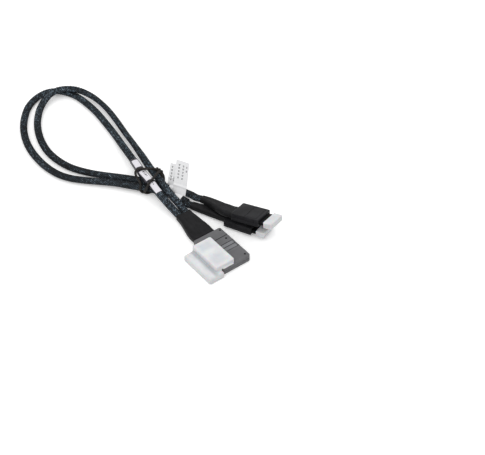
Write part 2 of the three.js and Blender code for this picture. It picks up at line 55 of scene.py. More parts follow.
# Shader maths: a socket with the usual operators
class Signal:
    def __init__(self, finish, socket):
        self.finish = finish
        self.socket = socket

    def maths(self, operation, first, second=0.0, clamp=False):
        settings = {"operation": operation, "use_clamp": clamp}
        node = self.finish.add("ShaderNodeMath", settings, {0: first, 1: second})
        return Signal(self.finish, node.outputs[0])

    def __add__(self, other):
        return self.maths("ADD", self, other)

    def __radd__(self, other):
        return self.maths("ADD", other, self)

    def __sub__(self, other):
        return self.maths("SUBTRACT", self, other)

    def __rsub__(self, other):
        return self.maths("SUBTRACT", other, self)

    def __mul__(self, other):
        return self.maths("MULTIPLY", self, other)

    def __rmul__(self, other):
        return self.maths("MULTIPLY", other, self)

    def __truediv__(self, other):
        return self.maths("DIVIDE", self, other)

    def sine(self):
        return self.maths("SINE", self)

    def clamped(self):
        return self.maths("ADD", self, 0.0, True)

    def above(self, low, high):
        # 0 below low, 1 above high
        return ((self - low) / (high - low)).clamped()

    def within(self, low, high, soft):
        return self.above(low - soft, low + soft) * (1 - self.above(high - soft, high + soft))


# One material and the nodes in it
class Finish:
    def __init__(self, name, **constants):
        self.material = bpy.data.materials.new(name)
        self.material.use_nodes = True
        self.tree = self.material.node_tree
        self.shader = self.tree.nodes["Principled BSDF"]
        self.place = self.add("ShaderNodeTexCoord").outputs
        for socketName, value in constants.items():
            self.shader.inputs[socketName.replace("_", " ")].default_value = value

    def add(self, kind, settings=None, inputs=None):
        node = self.tree.nodes.new(kind)
        for key, value in (settings or {}).items():
            if key == "stops":
                self.setStops(node.color_ramp, value)
            else:
                setattr(node, key, value)
        for key, value in (inputs or {}).items():
            if isinstance(value, Signal):
                self.tree.links.new(value.socket, node.inputs[key])
            elif isinstance(value, bpy.types.NodeSocket):
                self.tree.links.new(value, node.inputs[key])
            else:
                node.inputs[key].default_value = value
        return node

    def setStops(self, ramp, stops):
        while len(ramp.elements) < len(stops):
            ramp.elements.new(1)
        for element, (position, colour) in zip(ramp.elements, stops):
            element.position = position
            element.color = (*colour, 1)

    def grain(self, scale, detail=3.0, stretch=(1, 1, 1)):
        turned = self.add("ShaderNodeMapping", None, {"Vector": self.place["Object"], "Scale": stretch})
        inputs = {"Vector": turned.outputs[0], "Scale": scale, "Detail": detail}
        return Signal(self, self.add("ShaderNodeTexNoise", None, inputs).outputs[0])

    def axes(self, source="Object"):
        split = self.add("ShaderNodeSeparateXYZ", None, {0: self.place[source]})
        return [Signal(self, split.outputs[i]) for i in range(3)]

    def shade(self, amount, stops):
        ramp = self.add("ShaderNodeValToRGB", {"stops": stops}, {0: amount})
        return ramp.outputs[0]

    def blend(self, amount, first, second):
        return self.add("ShaderNodeMix", {"data_type": "RGBA"}, {0: amount, 6: first, 7: second}).outputs[2]

    def feed(self, socketName, value):
        socket = value.socket if isinstance(value, Signal) else value
        self.tree.links.new(socket, self.shader.inputs[socketName])

    def bump(self, height, depth, strength=1.0):
        inputs = {"Height": height, "Distance": depth, "Strength": strength}
        self.feed("Normal", self.add("ShaderNodeBump", None, inputs).outputs[0])


def colour(text):
    # a written screen colour as the linear values that the shader takes
    shares = [int(text[i : i + 2], 16) / 255 for i in (0, 2, 4)]
    return tuple(c / 12.92 if c < 0.04045 else ((c + 0.055) / 1.055) ** 2.4 for c in shares)


def full(text):
    return (*colour(text), 1)


def mouldedFinish(name, dark, light, rough, grainDepth, sheen=0.4):
    # moulded plastic: a fine spark-eroded grain, faint clouding, uneven gloss
    made = Finish(name, IOR=1.48, Specular_IOR_Level=sheen)
    clouds = made.grain(90, 4)
    fine = made.grain(2600, 2)
    stops = [(0.35, colour(dark)), (0.65, colour(light))]
    made.feed("Base Color", made.shade(clouds * 0.7 + fine * 0.3, stops))
    made.feed("Roughness", (rough - 0.08) + made.grain(400, 3) * 0.16)
    made.bump(fine, grainDepth * mm, 0.6)
    return made


def housingFinish(name, dark, light, rough, lines):
    # the moulded grey, with shade settled in the fine grooves across the top
    made = mouldedFinish(name, dark, light, rough, 0.02)
    x, y, z = made.axes()
    shadow = 0.0
    for place, halfWidth in lines:
        shadow = x.within((place - halfWidth) * mm, (place + halfWidth) * mm, 0.08 * mm) + shadow
    shadow = (shadow * z.above(5.2 * mm, 5.3 * mm) * y.above(-2.5 * mm, -2.4 * mm)).clamped()
    plain = made.shader.inputs["Base Color"].links[0].from_socket
    made.feed("Base Color", made.blend(shadow * 0.88, plain, full("0c0c0d")))
    return made


def milkyFinish():
    made = Finish("milkyCap", IOR=1.46, Subsurface_Weight=0.22, Subsurface_Scale=0.0025)
    x, y, z = made.axes()
    top = z.within(0.0088, 0.02, 0.0006)
    left = x.within(-0.0085, -0.0012, 0.0016) * y.within(-0.0155, -0.0058, 0.0016)
    right = x.within(0.0062, 0.0145, 0.0016) * y.within(-0.0155, -0.0058, 0.0016)
    hollow = (left + right) * top
    base = made.shade(made.grain(160, 3), [(0.3, colour("d3d4d6")), (0.7, colour("dfe0e1"))])
    # painted shade: a darker grey band in the valley between the two tiers
    paintedValleyShade = y.within(-0.0202, -0.0172, 0.0009) * z.within(0.0046, 0.0072, 0.0008)
    tinted = made.blend(hollow * 0.5, base, full("bcc2ca"))
    made.feed("Base Color", made.blend(paintedValleyShade * 0.6, tinted, full("9fa3a8")))
    made.feed("Roughness", 0.3 + made.grain(500, 2) * 0.14)
    made.bump(made.grain(350, 2), 0.02 * mm, 0.4)
    return made


def capFinish():
    made = Finish("milkySmallCap", IOR=1.46, Subsurface_Weight=0.2, Subsurface_Scale=0.002)
    stops = [(0.3, colour("d2d3d4")), (0.7, colour("dedfe0"))]
    made.feed("Base Color", made.shade(made.grain(260, 3), stops))
    made.feed("Roughness", 0.3 + made.grain(500, 2) * 0.14)
    made.bump(made.grain(350, 2), 0.02 * mm, 0.4)
    return made


def shrinkFinish():
    made = Finish("heatShrink", IOR=1.45, Specular_IOR_Level=0.16)
    creases = made.grain(420, 4, (0.35, 1, 1))
    made.feed("Base Color", made.shade(creases, [(0.3, colour("121213")), (0.75, colour("1e1e20"))]))
    made.feed("Roughness", 0.42 + made.grain(700, 3) * 0.26)
    made.bump(creases, 0.16 * mm, 0.7)
    return made


returning = (0.22, 0.26)  # metres along a cable, where its run turns back


def braidFinish():
    # u runs across one strand, v along the cable in metres
    made = Finish("braidStrand", IOR=1.5, Specular_IOR_Level=0.25)
    u, v = made.axes("UV")[:2]
    threads = (u * 25.1).sine() * 0.5 + 0.5
    patches = made.grain(560, 2)
    # painted glints: lighter patches and thread lines in the base colour, weaker on the returning run
    paintedGlint = (patches.above(0.5, 0.66) * 0.7 + threads * 0.3 - v.above(*returning) * 0.15).clamped()
    stops = [(0.15, colour("0b0d10")), (0.6, colour("181e25")), (1, colour("5b7080"))]
    made.feed("Base Color", made.shade(paintedGlint, stops))
    made.feed("Roughness", 0.5 - paintedGlint * 0.2)
    made.bump(threads, 0.05 * mm, 0.6)
    return made


def ribbonFinish():
    made = Finish("ribbonWire", IOR=1.5)
    u, v = made.axes("UV")[:2]
    ridge = (u * 100.5).sine() * 0.5 + 0.5
    # the ribbon's own blue-grey mottle; its bright end is painted glints, and the returning run is painted
    # darker
    mottleAndGlints = made.grain(560, 2) * 0.6 + made.grain(40, 2) * 0.25
    tone = (ridge * 0.15 + mottleAndGlints - v.above(*returning) * 0.06).clamped()
    stops = [(0.43, colour("181f24")), (0.54, colour("4b5d6b")), (0.66, colour("b3c6d3"))]
    made.feed("Base Color", made.shade(tone, stops))
    made.feed("Roughness", 0.34 + made.grain(500, 2) * 0.2)
    made.bump(ridge, 0.18 * mm, 0.6)
    return made


def filmFinish():
    made = Finish("markerFilm", IOR=1.5)
    creases = made.grain(300, 4, (1, 1, 0.5))
    made.feed("Base Color", made.shade(creases, [(0.3, colour("1d1c22")), (0.8, colour("45424d"))]))
    made.feed("Roughness", 0.16 + made.grain(400, 3) * 0.2)
    made.feed("Alpha", 0.62 + creases * 0.2)
    made.bump(creases, 0.1 * mm, 0.5)
    return made


def paperFinish(name, dark, light, gloss):
    made = Finish(name, IOR=1.45)
    fibres = made.grain(1400, 4)
    made.feed("Base Color", made.shade(fibres, [(0.3, colour(dark)), (0.7, colour(light))]))
    made.feed("Roughness", gloss + made.grain(500, 2) * 0.16)
    made.bump(fibres, 0.015 * mm, 0.4)
    return made


def inkFinish(name, dark, light):
    made = Finish(name, IOR=1.45)
    blots = made.grain(3200, 3)
    made.feed("Base Color", made.shade(blots, [(0.35, colour(dark)), (0.7, colour(light))]))
    made.feed("Roughness", 0.5 + blots * 0.2)
    return made


def tieFinish():
    made = Finish("tieWire", IOR=1.45, Specular_IOR_Level=0.3)
    skin = made.grain(900, 4)
    made.feed("Base Color", made.shade(skin, [(0.3, colour("12100f")), (0.75, colour("2f2a26"))]))
    made.feed("Roughness", 0.46 + made.grain(600, 3) * 0.24)
    made.bump(skin, 0.08 * mm, 0.7)
    return made


def cardFinish():
    # green board with rows of gold contacts across it
    made = Finish("contactCard", IOR=1.5)
    x, y, z = made.axes()
    stripe = ((x * 7854).sine() + 0.1).above(0, 0.15)
    fine = made.grain(1500, 3)
    board = made.shade(fine, [(0.3, colour("173f2b")), (0.7, colour("24583d"))])
    made.feed("Base Color", made.blend(stripe, board, full("c9a44a")))
    made.feed("Metallic", stripe)
    made.feed("Roughness", 0.45 - stripe * 0.17 + fine * 0.08)
    return made


coverGrooves = [(-8.7, 0.32), (-1.85, 0.3), (4.95, 0.3)]  # x and half width in millimetres
finishes = {
    "housing": housingFinish("housingGrey", "5a5a5c", "68686a", 0.5, coverGrooves),
    "latch": housingFinish("latchGrey", "6c6d70", "7a7b7e", 0.4, [(1.5, 0.32)]),
    "smallHousing": mouldedFinish("smallHousing", "19191b", "262629", 0.48, 0.02, 0.14),
    "nose": mouldedFinish("noseBlack", "0c0c0e", "151517", 0.5, 0.015, 0.1),
    "card": cardFinish(),
    "milky": milkyFinish(),
    "smallCap": capFinish(),
    "shrink": shrinkFinish(),
    "braid": braidFinish(),
    "ribbon": ribbonFinish(),
    "film": filmFinish(),
    "paper": paperFinish("labelPaper", "ededee", "f7f7f8", 0.5),
    "field": paperFinish("whiteField", "d8d5dc", "e6e4e9", 0.34),
    "ink": inkFinish("markInk", "1c1c20", "3c3c42"),
    "tie": tieFinish(),
}
print("finishes made")


def finishPiece(name, mesh, body, materials, nodes=(), smooth=35):
    for materialName in materials:
        mesh.materials.append(finishes[materialName].material)
    mesh.polygons.foreach_set("use_smooth", [True] * len(mesh.polygons))
    if smooth:
        mesh.set_sharp_from_angle(angle=math.radians(smooth))
    piece = bpy.data.objects.new(name, mesh)
    scene.collection.objects.link(piece)
    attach(piece, body)
    if nodes:
        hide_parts(*nodes)
    return piece


def meshFrom(name, bm):
    mesh = bpy.data.meshes.new(name)
    bm.to_mesh(mesh)
    bm.free()
    return mesh


def applied(piece):
    # turns a piece's modifiers into its mesh
    graph = bpy.context.evaluated_depsgraph_get()
    graph.update()
    mesh = bpy.data.meshes.new_from_object(piece.evaluated_get(graph))
    old = piece.data
    piece.modifiers.clear()
    piece.data = mesh
    bpy.data.meshes.remove(old)


# Centre lines in millimetres: each cable's is the solid's own, but up to 0.5 mm higher over the tie
lowerRoute = [
    (-46.8, -2.7, 3.2), (-53, -2.9, 4.2), (-60.5, -3.3, 6), (-73, -3.4, 8.6), (-86, -1.6, 9),
    (-98.6, -0.5, 9), (-116, 3.5, 7.4), (-139.5, 8.7, 4.8), (-158.8, 12.9, 3), (-177, 15.6, 2.6),
    (-192.5, 17.3, 2.5), (-208, 17.4, 2.4), (-220, 16.1, 2.4), (-229.4, 12.6, 2.4), (-236.9, 7, 2.4),
    (-240.2, 0.2, 2.4), (-240, -7.2, 2.4), (-237.1, -15.3, 2.4), (-231.8, -23.3, 2.4),
    (-222.3, -32, 2.4), (-210.8, -39.7, 2.4), (-198.8, -45.2, 2.4), (-185, -49.1, 2.4),
    (-170.4, -50.8, 2.4), (-156.3, -50.4, 2.4), (-143.2, -47.6, 2.5), (-133.5, -42.7, 2.7),
    (-125.6, -36.3, 2.9), (-117.3, -28.6, 3.2), (-107.5, -19.9, 3.7), (-98.3, -13.1, 3.9),
    (-89.7, -6.6, 4), (-79.8, 0.9, 3.7), (-71, 5.8, 3.1), (-65, 8.6, 2.7), (-58.5, 11, 2.6),
    (-56.81, 9.795, 2.465), (-52.245, 11.827, 2.622),
]
upperRoute = [
    (-46.8, 3.2, 3.2), (-52, 3.3, 4.1), (-56.8, 3.5, 5.4), (-64.8, 3.3, 7.2), (-74.3, 4.2, 8.3),
    (-86.4, 6, 8.5), (-101, 8.2, 8.3), (-120.6, 13.1, 6.2), (-137, 16.8, 4.8), (-152.9, 19.8, 3.9),
    (-171.4, 23.5, 3.4), (-187.8, 25.9, 3.4), (-202.5, 26.1, 3.8), (-213.4, 23.9, 4.8),
    (-222.1, 19.6, 6), (-227.8, 14, 6.8), (-232, 5, 6.9), (-231.6, -2.2, 6.2), (-228.8, -9.5, 4.6),
    (-223.7, -16.7, 3.2), (-215.7, -23.5, 2.5), (-207.2, -29, 2.4), (-195.7, -34.4, 2.4),
    (-183.4, -38.2, 2.4), (-171.2, -40, 2.4), (-158.6, -39.4, 2.4), (-146.2, -36.5, 2.5),
    (-137.6, -32.5, 2.6), (-127.5, -26.3, 2.9), (-118.2, -19.2, 3.3), (-109.2, -12, 3.8),
    (-99.4, -4.3, 3.9), (-89.2, 2.4, 4), (-78.4, 9.4, 3.7), (-68.8, 14.6, 3.6), (-60.2, 17.1, 4.6),
    (-54.664, 17.811, 5.341), (-50.086, 19.716, 5.985),
]
# the tie: two slanting turns round the crossing
tieRoute = [
    (-92.6, 9.7, 10.6), (-94, 8.2, 11.9), (-96, 4.8, 12.5), (-98.6, 1.2, 12.7), (-101.4, -2.4, 12.5),
    (-101.6, -4.8, 10.4), (-99.8, -5.5, 8.5), (-96.4, -6, 7.6), (-93, -6.7, 7.2),
    (-90.4, -8, 6.4), (-88.6, -9.5, 4.2), (-87.8, -8.2, 1.8), (-87.2, -5, 1.15), (-86.8, 2, 1.1),
    (-86.9, 6.4, 1.4), (-87.6, 9.2, 3.4), (-88.9, 10.6, 6.4), (-90.2, 10.6, 9.2), (-89.9, 9.2, 11.5),
    (-88, 5.4, 12.4), (-85.6, 0.9, 12.7), (-83.6, -3.4, 12.6), (-82.8, -6.2, 10.8), (-83.4, -7.2, 8),
    (-84.8, -7.9, 5), (-85.6, -7.6, 2.6), (-85.3, -5.2, 1.15), (-84.8, -1, 1.1), (-84.8, 4, 1.1),
    (-85.2, 8.4, 1.4), (-86.8, 10.6, 3.6), (-89, 12, 6.6), (-91.2, 11.2, 9.6),
]


def evenRoute(points, spacing):
    # a centripetal Catmull-Rom curve through the points, read off at an even spacing
    knots = [Vector(p) * mm for p in points]
    knots = [knots[0] * 2 - knots[1], *knots, knots[-1] * 2 - knots[-2]]
    dense = []
    for i in range(1, len(knots) - 2):
        a, b, c, d = knots[i - 1 : i + 3]
        first, second, third = (b - a).length ** 0.5, (c - b).length ** 0.5, (d - c).length ** 0.5
        start = ((b - a) / first - (c - a) / (first + second) + (c - b) / second) * second
        end = ((c - b) / second - (d - b) / (second + third) + (d - c) / third) * second
        for k in range(30):
            t = k / 30
            dense.append(
                b + start * t + (3 * (c - b) - 2 * start - end) * t**2 + (2 * (b - c) + start + end) * t**3
            )
    dense.append(knots[-2])
    reach = [0.0]
    for a, b in zip(dense, dense[1:]):
        reach.append(reach[-1] + (b - a).length)
    count = round(reach[-1] / spacing)
    evened, k = [], 0
    for i in range(count + 1):
        wanted = reach[-1] * i / count
        while k < len(dense) - 2 and reach[k + 1] < wanted:
            k += 1
        evened.append(dense[k].lerp(dense[k + 1], (wanted - reach[k]) / (reach[k + 1] - reach[k])))
    return evened, reach[-1]


def levelFrames(points, twist=()):
    # the flat section's width lies level, apart from the twist: (share, degrees)
    frames = []
    for i, point in enumerate(points):
        ahead = (points[min(i + 1, len(points) - 1)] - points[max(i - 1, 0)]).normalized()
        across = Vector((0, 0, 1)).cross(ahead).normalized()
        share = i / (len(points) - 1)
        angle = 0.0
        for (a, low), (b, high) in zip(twist, twist[1:]):
            if a <= share <= b:
                t = (share - a) / (b - a)
                angle = low + (high - low) * t * t * (3 - 2 * t)
        turn = Matrix.Rotation(math.radians(angle), 3, ahead)
        frames.append((point, turn @ across, turn @ ahead.cross(across), ahead))
    return frames


def ovalPoint(share, width, thick):
    # a point and outward direction on the flat oval, at a share of the way round it
    radius, straight = thick / 2, width - thick
    around = 2 * straight + math.tau * radius
    walk = (share % 1) * around
    quarter = math.pi * radius / 2
    if walk < quarter:
        angle, middle = walk / radius, straight / 2
    elif walk < quarter + straight:
        return straight / 2 - (walk - quarter), radius, 0.0, 1.0
    elif walk < 3 * quarter + straight:
        angle, middle = math.pi / 2 + (walk - quarter - straight) / radius, -straight / 2
    elif walk < 3 * quarter + 2 * straight:
        return -straight / 2 + (walk - 3 * quarter - straight), -radius, 0.0, -1.0
    else:
        angle, middle = math.pi * 1.5 + (walk - 3 * quarter - 2 * straight) / radius, straight / 2
    a, b = math.cos(angle), math.sin(angle)
    return middle + a * radius, b * radius, a, b


cable = {
    "width": 5.6 * mm,
    "thick": 3.8 * mm,
    "spacing": 0.46 * mm,
    "lay": 19 * mm,  # one full turn of a strand round the cable
    "strands": 9,  # each way
    "strandWidth": 0.8 * mm,
    "strandLift": 0.18 * mm,
    "weave": 0.13 * mm,
    "coreInset": 0.22 * mm,
    "coreSides": 30,
}


def ovalAt(frameAt, share, width, thick, lift):
    point, across, up, ahead = frameAt
    a, b, c, d = ovalPoint(share, width, thick)
    return point + across * (a + c * lift) + up * (b + d * lift)


def buildCable(name, route, body, node, twist=()):
    points, length = evenRoute(route, cable["spacing"])
    frames = levelFrames(points, twist)
    vertices, faces, faceMaterials, uvs = [], [], [], []

    def tube(sections, columns, material):
        # rings of the same count, joined into a closed tube
        first, sides = len(vertices), len(sections[0])
        for ring in sections:
            vertices.extend(ring)
        for i in range(len(sections) - 1):
            for k in range(sides):
                a, b = first + i * sides + k, first + i * sides + (k + 1) % sides
                faces.append((a, b, b + sides, a + sides))
                low, high = i * length / len(sections), (i + 1) * length / len(sections)
                left, right = columns[k], columns[k + 1]
                uvs.extend([(left, low), (right, low), (right, high), (left, high)])
        faces.append(tuple(reversed(range(first, first + sides))))
        faces.append(tuple(range(len(vertices) - sides, len(vertices))))
        uvs.extend([(0.5, 0.0)] * (2 * sides))
        faceMaterials.extend([material] * ((len(sections) - 1) * sides + 2))

    sides, inset = cable["coreSides"], cable["coreInset"]
    core = []
    for at in frames[::2]:
        core.append([ovalAt(at, k / sides, cable["width"], cable["thick"], -inset) for k in range(sides)])
    tube(core, [k / sides for k in range(sides + 1)], 1)
    around = 2 * (cable["width"] - cable["thick"]) + math.pi * cable["thick"]
    half = cable["strandWidth"] / 2 / around
    step = length / (len(points) - 1)
    for strand in range(2 * cable["strands"]):
        way = 1 if strand % 2 else -1
        rings = []
        for i, at in enumerate(frames):
            turn = i * step / cable["lay"]
            share = (strand // 2) / cable["strands"] + way * turn
            wave = way * math.cos(math.tau * cable["strands"] * turn)
            rise = wave * cable["weave"] - 0.08 * mm
            edges = [
                ovalAt(at, share - half, cable["width"], cable["thick"], rise - 0.05 * mm),
                ovalAt(at, share, cable["width"], cable["thick"], rise + cable["strandLift"]),
                ovalAt(at, share + half, cable["width"], cable["thick"], rise - 0.05 * mm),
            ]
            rings.append(edges)
        tube(rings, [0, 0.5, 1, 0], 0)
    mesh = bpy.data.meshes.new(name)
    mesh.from_pydata(vertices, [], faces)
    mesh.polygons.foreach_set("material_index", faceMaterials)
    layer = mesh.uv_layers.new(name="UVMap")
    layer.data.foreach_set("uv", [c for uv in uvs for c in uv])
    piece = finishPiece(name, mesh, body, ["braid", "ribbon"], [node], smooth=0)
    print(name, "is", round(length * 1000, 1), "mm long")
    return piece, points, length, frames


upperTwist = [(0, 0), (0.14, 0), (0.22, 45), (0.36, 45), (0.44, 0), (1, 0)]
lowerCable, lowerPoints, lowerLength, lowerFrames = buildCable(
    "lower_cable_braid", lowerRoute, "cable", "lower_cable"
)
upperCable, upperPoints, upperLength, upperFrames = buildCable(
    "upper_cable_braid", upperRoute, "cable", "upper_cable", upperTwist
)


# Lofts: rings of create_circle, each moved to its section and bridged to the next
def bridgedRings(bm, sections, closeEnds=True):
    rings = []
    for section in sections:
        ring = bmesh.ops.create_circle(bm, cap_ends=False, segments=len(section), radius=1)["verts"]
        for vertex, place in zip(ring, section):
            vertex.co = place
        rings.append(ring)
    loops = []
    for ring in rings:
        loops.append([bm.edges.get((a, b)) for a, b in zip(ring, ring[1:] + ring[:1])])
    for first, second in zip(loops, loops[1:]):
        bmesh.ops.bridge_loops(bm, edges=first + second)
    if closeEnds:
        for loop in (loops[0], loops[-1]):
            bmesh.ops.edgeloop_fill(bm, edges=loop)
    bmesh.ops.recalc_face_normals(bm, faces=bm.faces[:])
    return rings


def boxSection(x, y, z, corner, sides=48):
    # a rounded box outline across X, at one x
    middleY, middleZ = (y[0] + y[1]) / 2, (z[0] + z[1]) / 2
    halfY, halfZ = (y[1] - y[0]) / 2, (z[1] - z[0]) / 2
    corner = min(corner, halfY, halfZ)
    section = []
    for k in range(sides):
        angle = math.tau * (k + 0.5) / sides
        a, b = math.cos(angle), math.sin(angle)
        stretch = 1 / max(abs(a), abs(b))
        a, b = a * stretch, b * stretch
        innerA = max(-1 + corner / halfY, min(1 - corner / halfY, a)) * halfY
        innerB = max(-1 + corner / halfZ, min(1 - corner / halfZ, b)) * halfZ
        out = Vector((a * halfY - innerA, b * halfZ - innerB))
        if out.length > 1e-9:
            out = out.normalized() * corner
        section.append(Vector((x, middleY + innerA + out.x, middleZ + innerB + out.y)) * mm)
    return section


def easeBetween(a, b, t):
    # the heat shrink's side line from the mouth to the root
    return a + (b - a) * (3 * t * t - 2 * t**3)


def buildShrink(name, body, node, settings, place=Matrix.Identity(4)):
    bm = bmesh.new()
    sections = []
    mouthX, rootX = settings["x"]
    count = settings["rings"]
    for i in range(count + 1):
        t = i / count
        swell = min(1, t / 0.86)
        low = easeBetween(settings["mouth"][0], settings["root"][0], swell)
        high = easeBetween(settings["mouth"][1], settings["root"][1], swell)
        thin = settings["mouthThin"] * max(0, 1 - t / 0.12)
        z = (settings["z"][0] + thin, settings["z"][1] - thin)
        section = boxSection(mouthX + (rootX - mouthX) * t, (low, high), z, settings["corner"])
        middle = (settings["z"][0] + settings["z"][1]) / 2 * mm
        for point in section:
            wave = noise.noise(Vector((point.x * 190, point.y * 260, point.z * 200 + settings["seed"])))
            waist = math.exp(-(((t - 0.9) / 0.07) ** 2)) * settings["waist"] * mm
            side = 1 if point.z > middle else -0.4
            point.z += side * (wave * settings["ripple"] * mm - waist)
        sections.append(section)
    bridgedRings(bm, sections)
    bmesh.ops.transform(bm, matrix=place, verts=bm.verts[:])
    return finishPiece(name, meshFrom(name, bm), body, ["shrink"], [node], smooth=60)


wideShrink = {
    "x": (-46.9, -18.2),
    "mouth": (-6.1, 6.6),
    "root": (-10.3, 7.6),
    "z": (0.4, 6.0),
    "corner": 1.7,
    "rings": 44,
    "mouthThin": 0.25,
    "waist": 0.45,
    "ripple": 0.42,
    "seed": 3.1,
}
buildShrink("wide_shrink_sleeve", "cable", "wide_heat_shrink", wideShrink)

smallPlugs = {
    "lower": {"at": (-24.3, 25.2, 0.95), "roll": -5.5, "pitch": 1.8, "yaw": 24, "mouth": (-30.6, -1.1)},
    "upper": {"at": (-18.5, 28.3, 8.4), "roll": -10.9, "pitch": 7.4, "yaw": 22.6, "mouth": (-32.2, 3.8)},
}


def plugPlace(plug):
    # from a small plug's own frame to the row frame
    turn = Matrix.Rotation(math.radians(plug["yaw"]), 4, "Z")
    turn = turn @ Matrix.Rotation(math.radians(-plug["pitch"]), 4, "Y")
    turn = turn @ Matrix.Rotation(math.radians(plug["roll"]), 4, "X")
    return Matrix.Translation(Vector(plug["at"]) * mm) @ turn


smallRoots = {"lower": (-5.5, 3.9), "upper": (-8, 3.8)}
smallSeeds = {"lower": 9.4, "upper": 17.2}
for prefix, plug in smallPlugs.items():
    mouthX, mouthY = plug["mouth"]
    smallShrink = {
        "x": (mouthX - 0.2, -0.2),
        "mouth": (mouthY - 3.15, mouthY + 3.15),
        "root": smallRoots[prefix],
        "z": (0.1, 5.0),
        "corner": 1.6,
        "rings": 44,
        "mouthThin": 0.2,
        "waist": 0.2,
        "ripple": 0.24,
        "seed": smallSeeds[prefix],
    }
    buildShrink(
        f"{prefix}_shrink_sleeve", "cable", f"{prefix}_heat_shrink", smallShrink, plugPlace(plug)
    )
print("heat shrinks made")


# Rigid moulded pieces: the solid's own form, merged, with its edges broken
def buildMoulded(node, body, slotName, finishName, edge):
    bm = bmesh.new()
    bm.from_mesh(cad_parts[node].data)
    bmesh.ops.remove_doubles(bm, verts=bm.verts[:], dist=2e-6)
    bmesh.ops.dissolve_limit(bm, angle_limit=math.radians(0.6), verts=bm.verts[:], edges=bm.edges[:])
    name = f"{node}_moulded"
    piece = finishPiece(name, meshFrom(name, bm), body, [finishName], [node])
    softened = piece.modifiers.new("brokenEdges", "BEVEL")
    softened.width = edge * mm
    softened.segments = 2
    softened.limit_method = "ANGLE"
    softened.angle_limit = math.radians(40)
    softened.use_clamp_overlap = True
    softened.harden_normals = True
    applied(piece)
    return piece


mouldedPieces = [
    ("wide_cover", "cable", "housing_grey", "housing", 0.16),
    ("wide_base", "cable", "housing_grey", "housing", 0.12),
    ("wide_nose", "cable", "nose_black", "nose", 0.08),
    ("wide_contact_card", "cable", "contact_card", "card", 0.05),
    ("wide_press_latch", "wide_latch", "latch_grey", "latch", 0.1),
]
for prefix in smallPlugs:
    mouldedPieces += [
        (f"{prefix}_cover", "cable", "small_housing", "smallHousing", 0.14),
        (f"{prefix}_base", "cable", "small_housing", "smallHousing", 0.12),
        (f"{prefix}_nose", "cable", "nose_black", "nose", 0.06),
        (f"{prefix}_contact_card", "cable", "contact_card", "card", 0.05),
        (f"{prefix}_press_latch", f"{prefix}_latch", "small_housing", "smallHousing", 0.1),
    ]
for moulded in mouldedPieces:
    buildMoulded(*moulded)


# Inner wires: they stay the solids' own, with their finish
for prefix in ("wide", *smallPlugs):
    for layer in ("upper", "lower"):
        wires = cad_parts[f"{prefix}_wires_{layer}"]
        wires.data.materials.clear()
        wires.data.materials.append(finishes["ribbon"].material)

# Black pin heads in the cover's three holes
pins = {
    "places": [(-15.3, 10.1), (-5.9, 8.5), (15, 9.2)],
    "radius": 0.82 * mm,
    "topRadius": 0.74 * mm,
    "height": 0.5,
    "top": 5.86,
    "sides": 24,
}


def buildPins():
    bm = bmesh.new()
    for x, y in pins["places"]:
        head = bmesh.ops.create_cone(
            bm,
            cap_ends=True,
            segments=pins["sides"],
            radius1=pins["radius"],
            radius2=pins["topRadius"],
            depth=pins["height"] * mm,
        )["verts"]
        bmesh.ops.translate(bm, verts=head, vec=Vector((x, y, pins["top"] - pins["height"] / 2)) * mm)
    return finishPiece("wide_pin_heads", meshFrom("wide_pin_heads", bm), "cable", ["nose"])


buildPins()
print("moulded pieces made")


# Dust caps
def roundedBox(bm, x, y, z, corner, edge):
    # a box with upright corners and top and bottom edges of their own radius
    made = bmesh.ops.create_cube(bm, size=1)["verts"]
    size = Matrix.Diagonal((x[1] - x[0], y[1] - y[0], z[1] - z[0], 1))
    centre = Matrix.Translation(((x[0] + x[1]) / 2, (y[0] + y[1]) / 2, (z[0] + z[1]) / 2))
    bmesh.ops.transform(bm, matrix=Matrix.Scale(mm, 4) @ centre @ size, verts=made)
    edges = {e for v in made for e in v.link_edges}
    upright = [e for e in edges if abs(e.verts[0].co.z - e.verts[1].co.z) > 1e-7]
    bevelled = bmesh.ops.bevel(
        bm, geom=upright, offset=corner * mm, segments=5, profile=0.5, affect="EDGES", material=-1
    )
    verts = {v for f in bevelled["faces"] for v in f.verts}
    for level, radius in ((z[1] * mm, edge[1]), (z[0] * mm, edge[0])):
        rim = {
            e
            for v in verts
            if v.is_valid
            for e in v.link_edges
            if all(abs(end.co.z - level) < 1e-7 for end in e.verts) and len(e.link_faces) == 2
        }
        if radius > 0:
            bmesh.ops.bevel(
                bm, geom=list(rim), offset=radius * mm, segments=5, profile=0.5, affect="EDGES", material=-1
            )


def fusedPiece(name, bm, body, finishName, nodes, voxel, rounds, pockets):
    # overlapping boxes fused into one skin, softened, then hollowed
    piece = finishPiece(name, meshFrom(name, bm), body, [finishName], nodes, smooth=0)
    fuse = piece.modifiers.new("fuse", "REMESH")
    fuse.mode = "VOXEL"
    fuse.voxel_size = voxel * mm
    soften = piece.modifiers.new("soften", "SMOOTH")
    soften.factor = 0.5
    soften.iterations = rounds
    thin = piece.modifiers.new("thin", "DECIMATE")
    thin.decimate_type = "DISSOLVE"
    thin.angle_limit = math.radians(1.2)
    applied(piece)
    for index, (pocketPlace, x, y, z) in enumerate(pockets):
        cut = bmesh.new()
        roundedBox(cut, x, y, z, 0.3, (0.2, 0.2))
        bmesh.ops.transform(cut, matrix=pocketPlace, verts=cut.verts[:])
        cutter = bpy.data.objects.new(f"{name}_pocket{index}", meshFrom(f"{name}_pocket", cut))
        scene.collection.objects.link(cutter)
        hollow = piece.modifiers.new("hollow", "BOOLEAN")
        hollow.operation = "DIFFERENCE"
        hollow.solver = "EXACT"
        hollow.object = cutter
        applied(piece)
        bpy.data.objects.remove(cutter)
    piece.data.polygons.foreach_set("use_smooth", [True] * len(piece.data.polygons))
    piece.data.set_sharp_from_angle(angle=math.radians(50))
    return piece


